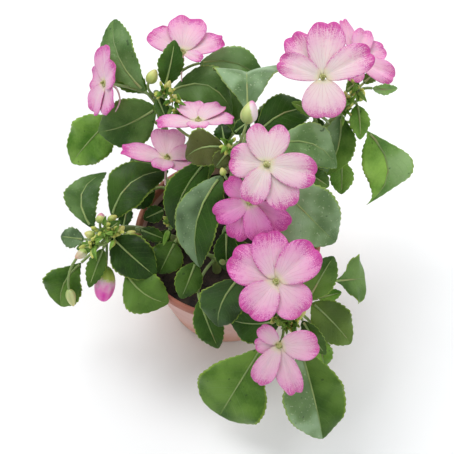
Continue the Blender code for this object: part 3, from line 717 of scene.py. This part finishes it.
shoots["inner"] = {
    "root": (-21, 7), "stem": ((-29, 11, 4), (-35, 11, 16), (-38, 6, 24)),
    "leaves": [
        ((-41, 16, 24), (-54, 10, 22), 12, {"tone": 0.1}),
        ((-47, 29, 12), (-63, 18, 8), 15, {"tone": 0.12}),
        ((-37, 3, 18), (-46, -8, 12), 10, {"tone": 0.15}),
        ((-14, 34, 8), (-22, 62, -20), 24, {"tone": 0.35}),
    ],
    "buds": [],
    "sprigs": ((-37, 8, 28),),
}

# turn faces a bloom to the right and nod upwards, in degrees; depth, blush and cream are its colour, and
# rims how strong the edge of each petal is; a petal is its direction clockwise from the top, its length,
# its width and, where it differs, its notch
blooms = {}
blooms["bloom_back"] = {
    "stem": "back_left", "centre": (-29, 117, 28), "turn": 4, "nod": 32, "lift": 0.16,
    "depth": 0.9, "blush": 0.45, "cream": 0.6, "rims": (0.8, 1, 1.2, 1, 1),
    "petals": ((-55, 24, 20), (9, 26, 25), (68, 27, 16), (120, 13, 9), (205, 8, 8)),
}
blooms["bloom_left"] = {
    "stem": "back_left", "centre": (-79, 97, 37), "turn": -60, "nod": 4, "lift": 0.15,
    "depth": 0.7, "blush": 0.45, "cream": 0.2, "rims": (1.1, 1, 1, 1, 1),
    "petals": ((4, 23, 22), (74, 20, 19), (146, 21, 21), (216, 20, 20), (286, 20, 19)),
}
blooms["bloom_upper"] = {
    "stem": "back_left", "centre": (-19, 73, 58), "turn": 0, "nod": 56, "lift": 0.2,
    "depth": 0.5, "blush": 0.3, "cream": 0.3, "rims": (0.5, 0.6, 0.8, 1, 1.6),
    "petals": ((-20, 20, 18), (45, 19, 16), (98, 21, 16), (180, 12, 14), (258, 25, 18)),
}
blooms["bloom_mid_left"] = {
    "stem": "inner", "centre": (-39, 49, 46), "turn": 6, "nod": 50, "lift": 0.2,
    "depth": 0.7, "blush": 0.35, "cream": 0.3, "rims": (0.4, 0.6, 0.8, 0.8, 1.5),
    "petals": ((0, 26, 22), (75, 17, 16), (130, 18, 16), (195, 15, 14), (276, 28, 18)),
}
blooms["bloom_top_right"] = {
    "stem": "back_right", "centre": (61, 101, 64), "turn": -4, "nod": 12, "lift": 0.1,
    "depth": 1.1, "blush": 0.05, "cream": 0.5, "rims": (1, 0.95, 0.4, 0.7, 1.1),
    "petals": ((6, 35, 24), (64, 33, 21), (178, 25, 27), (291, 28, 17), (325, 33, 20)),
}
blooms["bloom_far_right"] = {
    "stem": "back_right", "centre": (83, 112, 32), "turn": 12, "nod": 20, "lift": 0.12,
    "depth": 0.5, "blush": 0.3, "cream": 0.1, "rims": (0.8, 0.7, 1.2, 1.1, 1),
    "petals": ((-18, 28, 9), (14, 21, 14), (60, 20, 15), (116, 25, 16), (190, 14, 13)),
}
blooms["bloom_middle"] = {
    "stem": "centre", "centre": (25, 45, 98), "turn": 0, "nod": 4, "lift": 0.06,
    "depth": 0.75, "blush": 0.05, "cream": 0.5, "rims": (0.6, 1, 1, 1, 0.9),
    "petals": ((3, 24, 26, 0.28), (102, 29, 21), (152, 28, 21), (205, 24, 17), (280, 21, 21)),
}
blooms["bloom_lower"] = {
    "stem": "centre", "centre": (14, 21, 88), "turn": -8, "nod": -20, "lift": 0.08,
    "depth": 1.15, "blush": 1.0, "cream": 0, "rims": (0.8, 0.9, 1.3, 1.3, 1.3),
    "petals": ((315, 18, 13), (245, 22, 16), (200, 25, 16), (160, 25, 17), (122, 27, 16)),
}
blooms["bloom_front"] = {
    "stem": "front_right", "centre": (31, -30, 92), "turn": 0, "nod": 0, "lift": 0.06,
    "depth": 1.15, "blush": 0.42, "cream": 0.25, "rims": (1, 1, 0.55, 0.85, 1.1),
    "petals": ((-10, 29, 23), (50, 30, 25), (139, 24, 24), (220, 25, 24), (300, 30, 25)),
}
blooms["bloom_bottom"] = {
    "stem": "front_right", "centre": (33, -71, 80), "turn": -14, "nod": -22, "lift": 0.14,
    "depth": 0.45, "blush": 0.35, "cream": 0.3, "rims": (1.4, 0.9, 0.9, 1, 1.2),
    "petals": ((-45, 15, 12), (78, 24, 20), (160, 32, 16), (206, 28, 15), (262, 14, 11)),
}

pinkBuds = {
    "bud_white_pink": {
        "stem": "centre", "foot": (12, 71, 84), "tip": (16, 86, 84), "width": 11,
        "pink": 1.0, "pale": 0.9, "phase": 0.2, "blunt": 0,
    },
    "bud_magenta": {
        "stem": "left", "foot": (-78, -20, 26), "tip": (-80, -43, 22), "width": 13,
        "pink": 1.0, "pale": 0.1, "phase": 0.2, "blunt": 0.6,
    },
}

# roll turns a leaf about its length, arch lifts its middle, bow bends it sideways, fold raises its halves,
# belly is where along it the leaf is widest, and a low point makes its ends blunt
plainLeaf = {"roll": 0, "arch": 0.1, "bow": 0, "fold": 0.3, "belly": 0.46, "point": 0.75}
leafShape = {
    "mesh": (12, 48), "smallMesh": (8, 24), "smallWidth": 14, "thick": 0.45, "cup": 0.22, "quilt": 0.45,
    "quiltStart": 6, "edge": 0.99,
    "tooth": 0.9, "toothShare": 0.085, "toothEvery": 3.3, "fewestTeeth": 6, "toothCurve": 1.5,
    "toothFade": 4, "toothed": (0.04, 0.97), "wave": 0.075, "waves": 15, "waveStagger": 2, "waveReach": 1.6,
}
ribShape = {"stops": (0.04, 0.12, 0.3, 0.5, 0.7, 0.86), "deep": 0.8, "rise": 0.6, "foot": 0.8, "tip": 0.2}
stalkShape = {
    "leaf": 1.05, "leafTaper": 0.85, "bud": 0.95, "flower": 0.8, "drop": 9, "bend": 0.45, "steps": 9,
    "stemFoot": 3.0, "stemTop": 1.7, "sunk": 7, "neck": 5, "coarseSteps": 3, "fineSteps": 10,
}


def leafPlace(row, seed):
    s, veins = leafShape, leafVeins
    foot, tip, width, more = row
    own = {**plainLeaf, **more}
    rng = random.Random(seed)
    phase = rng.uniform(0, 6)
    wave = s["wave"] * rng.uniform(0.6, 1.5)
    foot, tip = spot(*foot), spot(*tip)
    length = (tip - foot).length
    lengthwise = (tip - foot).normalized()
    face = (outAxis - outAxis.project(lengthwise)).normalized()
    face = Matrix.Rotation(math.radians(own["roll"]), 3, lengthwise) @ face
    sideways = lengthwise.cross(face)
    skew = math.log(0.5) / math.log(own["belly"])  # brings the widest place to the belly
    teeth = max(s["fewestTeeth"], round(length / mm / s["toothEvery"]))
    depth = min(s["tooth"] * mm, s["toothShare"] * width * mm)
    toothedFrom, toothedTo = s["toothed"]

    def place(along, side):
        along = min(1.0, max(0.0, along))
        out, over = abs(side), 1 if side > 0 else 0
        hump = 4 * along * (1 - along)
        half = width * mm / 2 * max(0.0, math.sin(math.pi * along**skew)) ** own["point"]
        if out > s["edge"] and toothedFrom < along < toothedTo:
            notch = depth * (1 - (along * teeth) % 1) ** s["toothCurve"]
            half -= notch * min(1, half / (s["toothFade"] * mm))
        centre = foot + lengthwise * length * along
        centre += face * own["arch"] * length * hump + sideways * own["bow"] * length * hump
        rise = half * (own["fold"] * out - s["cup"] * side**2)
        march = along * veins["pairs"] - out * veins["lean"] - side**2 * veins["curve"]
        march = (march + veins["stagger"] * over) % 1
        quilt = s["quilt"] * mm * math.sin(math.pi * march) * (1 - side**2)
        quilt = quilt * min(1, s["quiltStart"] * out) * hump
        ripple = math.sin(phase + along * s["waves"] + s["waveStagger"] * over)
        curl = half * wave * ripple * side**2 * s["waveReach"]
        return centre + sideways * half * side + face * (rise + quilt + curl)

    return place


def smooth(points, steps):  # a path through all of the points
    path = []
    for i in range(len(points) - 1):
        a, b, c, d = points[max(i - 1, 0)], points[i], points[i + 1], points[min(i + 2, len(points) - 1)]
        for step in range(steps):
            t = step / steps
            square, cube = 2 * a - 5 * b + 4 * c - d, 3 * b - a - 3 * c + d
            path.append(0.5 * (2 * b + (c - a) * t + square * t**2 + cube * t**3))
    return [*path, points[-1]]


def stemPath(shoot, steps):
    x, y = shoot["root"]
    ground = potShape["rimHeight"] - soilShape["drop"]
    foot = Vector((x * mm, y * mm, (ground - stalkShape["sunk"]) * mm))
    neck = Vector((x * mm, y * mm, (ground + stalkShape["neck"]) * mm))
    return [foot, *smooth([neck, *(spot(*point) for point in shoot["stem"])], steps)]


def stalkPath(stem, foot, direction, drop):
    nearest = min(range(len(stem)), key=lambda i: (stem[i] - foot).length)
    start = stem[nearest]
    while nearest > 0 and (start - stem[nearest]).length < drop * mm:
        nearest -= 1
    start = stem[nearest]
    bend = foot - direction * (foot - start).length * stalkShape["bend"]
    stops = [i / stalkShape["steps"] for i in range(stalkShape["steps"] + 1)]
    return [start * (1 - t) ** 2 + bend * 2 * t * (1 - t) + foot * t**2 for t in stops]


def tubes(name, strands):  # each strand is a path, with its first and last radius
    curve = bpy.data.curves.new(name, "CURVE")
    curve.dimensions = "3D"
    curve.bevel_depth = mm
    curve.bevel_resolution = 3
    curve.use_fill_caps = True
    for path, first, last in strands:
        spline = curve.splines.new("POLY")
        spline.points.add(len(path) - 1)
        for i, (point, place) in enumerate(zip(spline.points, path)):
            point.co = (*place, 1)
            point.radius = first + (last - first) * i / (len(path) - 1)
    guide = bpy.data.objects.new(name, curve)
    scene.collection.objects.link(guide)
    mesh = frozen(guide)
    mesh.materials.clear()
    bpy.data.objects.remove(guide)
    return mesh


budShape = {"sides": 20, "rings": 14, "taper": 0.45, "flare": 0.5, "ribs": 5, "ribDepth": 0.07, "twist": 3}


def addBud(sheets, foot, tip, width, look, blunt=0.0):
    b = budShape
    made = bmesh.ops.create_uvsphere(sheets.bm, u_segments=b["sides"], v_segments=b["rings"], radius=1,
                                     calc_uvs=True)
    length = (tip - foot).length
    turn = (tip - foot).to_track_quat("Z", "Y").to_matrix()
    for vertex in made["verts"]:
        rise = (vertex.co.z + 1) / 2
        angle = math.atan2(vertex.co.y, vertex.co.x)
        slim = 1 - b["taper"] * rise**2 * (1 - blunt)
        slim *= 1 + b["ribDepth"] * math.cos(b["ribs"] * angle + b["twist"] * rise)
        slim *= 1 + b["flare"] * blunt * rise**3
        across, deep = (side * slim * width * mm / 2 for side in vertex.co.xy)
        vertex.co = foot + turn @ Vector((across, deep, rise * length))
        vertex[sheets.look] = look


# tiny buds and bracts crowd the tip of a shoot
sprigShape = {
    "spread": 6.5, "lean": (0.1, 1.0), "lift": 0.55, "liftMore": 0.5, "start": (0.3, 0.9),
    "buds": 9, "budLength": (3.2, 6.0), "budWidth": (0.4, 0.6), "budPale": 0.5, "budBrown": 0.45,
    "bracts": 6, "bractLength": (6.0, 11.0), "bractWidth": 0.32, "bractTone": (0.8, 1.0), "bractOlive": 0.15,
    "bractArch": 0.2, "bractColumns": 4, "bractRows": 8, "bractHold": 0.2,
    "budStalk": (0.45, 0.35), "bractStalk": (0.4, 0.3),
}


def sprigRows(centre, rng):
    s = sprigShape
    buds, bracts = [], []
    for i in range(s["buds"] + s["bracts"]):
        angle, lean = rng.uniform(0, math.tau), rng.uniform(*s["lean"])
        way = (math.cos(angle) * lean, math.sin(angle) * lean, s["lift"] + rng.uniform(0, s["liftMore"]))
        near = tuple(c + w * s["spread"] * rng.uniform(*s["start"]) for c, w in zip(centre, way))
        reach = rng.uniform(*(s["budLength"] if i < s["buds"] else s["bractLength"]))
        far = tuple(n + w * reach for n, w in zip(near, way))
        if i < s["buds"]:
            buds.append((near, far, reach * rng.uniform(*s["budWidth"])))
        else:
            tone = rng.uniform(*s["bractTone"])
            more = {"arch": s["bractArch"], "tone": tone, "olive": s["bractOlive"]}
            bracts.append((near, far, reach * s["bractWidth"], more))
    return buds, bracts


def addSprig(growth, centre):
    s, rng = sprigShape, growth.rng
    tinyBuds, bracts = sprigRows(centre, rng)
    core = spot(*centre)
    for foot, tip, width in tinyBuds:
        foot, tip = spot(*foot), spot(*tip)
        look = (0, rng.uniform(0, s["budPale"]), rng.random(), rng.uniform(0, s["budBrown"]))
        addBud(growth.buds, foot, tip, width, look)
        growth.strands.append(([core, (core + foot) / 2, foot], *s["budStalk"]))
    for row in bracts:
        place = leafPlace(row, rng.random())
        look = (row[3]["tone"], row[3]["olive"], rng.random(), 0)
        addSheet(growth.blades, s["bractColumns"], s["bractRows"], place, look)
        growth.strands.append(([core, place(0, 0), place(s["bractHold"], 0)], *s["bractStalk"]))


def addLeaf(growth, row, seed):
    place = leafPlace(row, seed)
    width, more = row[2:]
    tone = more.get("tone", growth.rng.uniform(0.3, 0.6))
    look = (tone, more.get("olive", 0), growth.rng.random(), more.get("paintedSheen", 0))
    mesh = leafShape["smallMesh" if width < leafShape["smallWidth"] else "mesh"]
    addSheet(growth.blades, *mesh, place, look)
    foot = place(0, 0)
    stalk = stalkPath(growth.stem, foot, (place(0.12, 0) - foot).normalized(), stalkShape["drop"])
    growth.strands.append((stalk, stalkShape["leaf"], stalkShape["leaf"] * stalkShape["leafTaper"]))
    face = (place(0.5, 0) - place(0.5, 0.6)).cross(place(0.6, 0) - place(0.5, 0)).normalized()
    rib = [place(t, 0) - face * (ribShape["deep"] - ribShape["rise"] * t) * mm for t in ribShape["stops"]]
    growth.strands.append((rib, stalkShape["leaf"] * ribShape["foot"], ribShape["tip"]))


def addStalk(growth, foot, way):  # of a bud or a bloom
    stalk = stalkPath(growth.stem, foot, way, stalkShape["drop"] / 2)
    growth.strands.append((stalk, stalkShape["bud"], stalkShape["flower"]))


def addGreenBud(growth, row):
    foot, tip, width, more = row
    foot, tip = spot(*foot), spot(*tip)
    way = (tip - foot).normalized()
    look = (more.get("pink", 0.1), more.get("pale", 0.2), growth.rng.random(), 0)
    addBud(growth.buds, foot, tip, width, look)
    addStalk(growth, foot + way * mm, way)


def addFlowerStalks(growth, name):
    for flower in blooms.values():
        if flower["stem"] == name:
            face = bloomAxes(flower)[0]
            addStalk(growth, spot(*flower["centre"]) - face * bloomShape["neck"] * mm, face)
    for bud in pinkBuds.values():
        if bud["stem"] == name:
            foot, tip = spot(*bud["foot"]), spot(*bud["tip"])
            addStalk(growth, foot, (tip - foot).normalized())


def finishSheets(sheets, name, node, materials, shell=None):
    bmesh.ops.remove_doubles(sheets.bm, verts=sheets.bm.verts, dist=weld)
    finished(name, meshFrom(sheets.bm, name), node, materials, shell)


def makeShoot(name, shoot, order):
    node = "shoot_" + name
    growth = SimpleNamespace(
        rng=random.Random(order * 97 + 5), blades=startSheets(), buds=startSheets(),
        stem=stemPath(shoot, stalkShape["coarseSteps"]),
        strands=[(stemPath(shoot, stalkShape["fineSteps"]), stalkShape["stemFoot"], stalkShape["stemTop"])],
    )
    for centre in shoot["sprigs"]:
        addSprig(growth, centre)
    for i, row in enumerate(shoot["leaves"]):
        addLeaf(growth, row, order * 50 + i)
    shell = {"thickness": leafShape["thick"] * mm, "offset": 0, "material_offset": 1}
    shell["material_offset_rim"] = 2
    finishSheets(growth.blades, "leaves_" + name, node, ["top", "under", "edge"], shell)
    for row in shoot["buds"]:
        addGreenBud(growth, row)
    addFlowerStalks(growth, name)
    finished("stems_" + name, tubes("stems", growth.strands), node, ["stem"])
    if shoot["buds"] or shoot["sprigs"]:
        finishSheets(growth.buds, "buds_" + name, node, ["bud"])


bloomShape = {
    "mesh": (20, 22), "thick": 0.3, "layer": 1.3, "neck": 5, "start": 1.5, "notch": 0.07,
    "foot": 0.2, "round": 0.62, "fill": 0.68, "tipRound": 0.32, "shoulder": 0.17, "cup": 0.08, "droop": 0.1,
    "ruffle": 0.05, "rufflesAcross": 5, "rufflesAlong": 3, "ruffleReach": 0.6,
    "crease": 0.02, "creaseWidth": 0.16, "layers": (0, 1, 0, 1, -1),  # which petals lie over others
}


def bloomAxes(flower):  # the way it faces, its top and its right
    turn, nod = math.radians(flower["turn"]), math.radians(flower["nod"])
    level = upAxis * math.sin(nod) + outAxis * math.cos(nod)
    face = acrossAxis * math.sin(turn) + level * math.cos(turn)
    up = upAxis * math.cos(nod) - outAxis * math.sin(nod)
    return face.normalized(), up, up.cross(face).normalized()


def petalPlace(flower, petal, layer, seed):
    b = bloomShape
    angle, length, width, *notch = petal
    length, width = length * mm, width * mm
    face, up, right = bloomAxes(flower)
    centre = spot(*flower["centre"])
    away = up * math.cos(math.radians(angle)) + right * math.sin(math.radians(angle))
    sideways = away.cross(face)
    rng = random.Random(seed)
    phase = rng.uniform(0, 6)
    ruffle = b["ruffle"] * rng.uniform(0.6, 1.5)
    notch = notch[0] if notch else b["notch"]

    def place(along, side):
        swell = math.sin(math.pi * b["round"] * along ** b["fill"])
        half = width / 2 * (b["foot"] + (1 - b["foot"]) * swell)
        rounded = side * math.sqrt(1 - b["tipRound"] * along**6 * side**2)
        reach = b["start"] * mm + length * along * (1 - b["shoulder"] * side**2 * along)
        reach -= notch * length * along**4 * (1 - abs(side)) ** 3
        rise = flower["lift"] * length * along + layer * b["layer"] * mm * min(1, 4 * along)
        rise += b["cup"] * half * side**2 - b["droop"] * length * along**3
        ripple = math.sin(phase + side * b["rufflesAcross"] + along * b["rufflesAlong"])
        rise += ruffle * length * ripple * along**2 * b["ruffleReach"]
        crease = math.exp(-((side / b["creaseWidth"]) ** 2)) * math.sin(math.pi * along)
        rise -= b["crease"] * length * crease
        return centre + away * reach + sideways * half * rounded + face * rise

    return place


def makePetals(name, flower, order):
    rng = random.Random(order * 31 + 3)
    sheets = startSheets()
    for i, petal in enumerate(flower["petals"]):
        place = petalPlace(flower, petal, bloomShape["layers"][i], order * 10 + i)
        look = (flower["depth"] * flower["rims"][i], flower["blush"], rng.random(), flower["cream"])
        addSheet(sheets, *bloomShape["mesh"], place, look)
    shell = {"thickness": bloomShape["thick"] * mm, "offset": 0}
    finished("petals_" + name, meshFrom(sheets.bm, "petals"), name, ["petal"], shell)


eyeShape = {
    "coneFoot": 0.9, "coneTop": 1.9, "coneDepth": 6, "coneBack": 1.9, "coneSides": 20, "capSides": 16,
    "capRings": 10, "capRadius": 1.2, "capOut": 1.4, "capUp": 0.4, "capStretch": (0.8, 1, 1.5),
}


def makeEye(name, flower):
    e = eyeShape
    face, up = bloomAxes(flower)[:2]
    centre = spot(*flower["centre"])
    turn = face.to_track_quat("Z", "Y").to_matrix().to_4x4()
    bm = bmesh.new()
    back = Matrix.Translation(centre - face * e["coneBack"] * mm) @ turn
    bmesh.ops.create_cone(bm, cap_ends=True, segments=e["coneSides"], radius1=e["coneFoot"] * mm,
                          radius2=e["coneTop"] * mm, depth=e["coneDepth"] * mm, matrix=back)
    front = Matrix.Translation(centre + face * e["capOut"] * mm + up * e["capUp"] * mm) @ turn
    front = front @ Matrix.Diagonal((*e["capStretch"], 1))
    bmesh.ops.create_uvsphere(bm, u_segments=e["capSides"], v_segments=e["capRings"],
                              radius=e["capRadius"] * mm, matrix=front)
    finished("eye_" + name, meshFrom(bm, "eye"), name, ["eye"])


spurShape = {"start": 0.7, "bends": ((5, 3), (7, 10), (4, 17)), "steps": 6, "foot": 0.8, "tip": 0.35}


def makeSpur(name, flower):  # hangs behind the bloom, by steps back and down
    s = spurShape
    face, up = bloomAxes(flower)[:2]
    start = spot(*flower["centre"]) - face * bloomShape["neck"] * mm * s["start"]
    bends = [start, *(start - face * back * mm - up * down * mm for back, down in s["bends"])]
    mesh = tubes("spur", [(smooth(bends, s["steps"]), s["foot"], s["tip"])])
    finished("spur_" + name, mesh, name, ["spur"])


def makePinkBud(name, bud):
    sheets = startSheets()
    look = (bud["pink"], bud["pale"], bud["phase"], 0)
    addBud(sheets, spot(*bud["foot"]), spot(*bud["tip"]), bud["width"], look, bud["blunt"])
    finishSheets(sheets, name + "_fine", name, ["bud"])


for order, (name, shoot) in enumerate(shoots.items()):
    makeShoot(name, shoot, order)
print("leafy shoots made")
for order, (name, flower) in enumerate(blooms.items()):
    makePetals(name, flower, order)
    makeEye(name, flower)
    makeSpur(name, flower)
for name, bud in pinkBuds.items():
    makePinkBud(name, bud)
print("blooms and buds made")


# places and sizes in metres, and the key's spread in degrees
studio = {
    "floor": 60.0, "floorColour": (0.93, 0.93, 0.93), "world": 0.56, "worldColour": (0.95, 0.98, 1.0, 1),
    "key": 1.75, "keySpread": 38, "keyPlace": (-0.55, 0.45, 1.25), "keyColour": (0.98, 0.99, 1.0),
    "fill": 4, "fillSize": 1.0, "fillPlace": (0.9, -0.7, 1.1), "fillColour": (1.0, 0.985, 0.96),
    "back": 5, "backSize": 0.8, "backPlace": (0.3, 1.1, 0.9), "backColour": (0.95, 0.98, 1.0),
}


def makeLight(name, kind, settings):
    light = bpy.data.lights.new(name, kind)
    light.energy, light.color = studio[name], studio[name + "Colour"]
    for key, setting in settings.items():
        setattr(light, key, setting)
    lamp = bpy.data.objects.new(name, light)
    scene.collection.objects.link(lamp)
    lamp.location = studio[name + "Place"]
    lamp.rotation_euler = (middle - lamp.location).to_track_quat("-Z", "Y").to_euler()


def makeFloor():
    bm = bmesh.new()
    bmesh.ops.create_grid(bm, x_segments=2, y_segments=2, size=studio["floor"] / 2)
    floor = bpy.data.objects.new("floor", meshFrom(bm, "floor"))
    scene.collection.objects.link(floor)
    pale = Tree("paleFloor").set(Base_Color=studio["floorColour"], Roughness=0.9, Specular_IOR_Level=0.1)
    floor.data.materials.append(pale)


def makeCamera():
    camera = bpy.data.cameras.new("camera")
    camera.lens = view["lens"]
    camera.shift_x, camera.shift_y = view["shiftX"], view["shiftY"]
    eye = bpy.data.objects.new("camera", camera)
    scene.collection.objects.link(eye)
    eye.location = middle + outAxis * view["distance"]
    eye.rotation_euler = (math.pi / 2 - tilt, 0, 0)
    scene.camera = eye


def makeRoom():
    world = bpy.data.worlds.new("softRoom")
    scene.world = world
    world.use_nodes = True
    background = world.node_tree.nodes["Background"]
    background.inputs["Color"].default_value = studio["worldColour"]
    background.inputs["Strength"].default_value = studio["world"]
    scene.view_settings.view_transform = "Standard"


makeFloor()
makeCamera()
makeRoom()
makeLight("key", "SUN", {"angle": math.radians(studio["keySpread"])})
makeLight("fill", "AREA", {"size": studio["fillSize"]})
makeLight("back", "AREA", {"size": studio["backSize"]})
print("camera, lights and floor made")
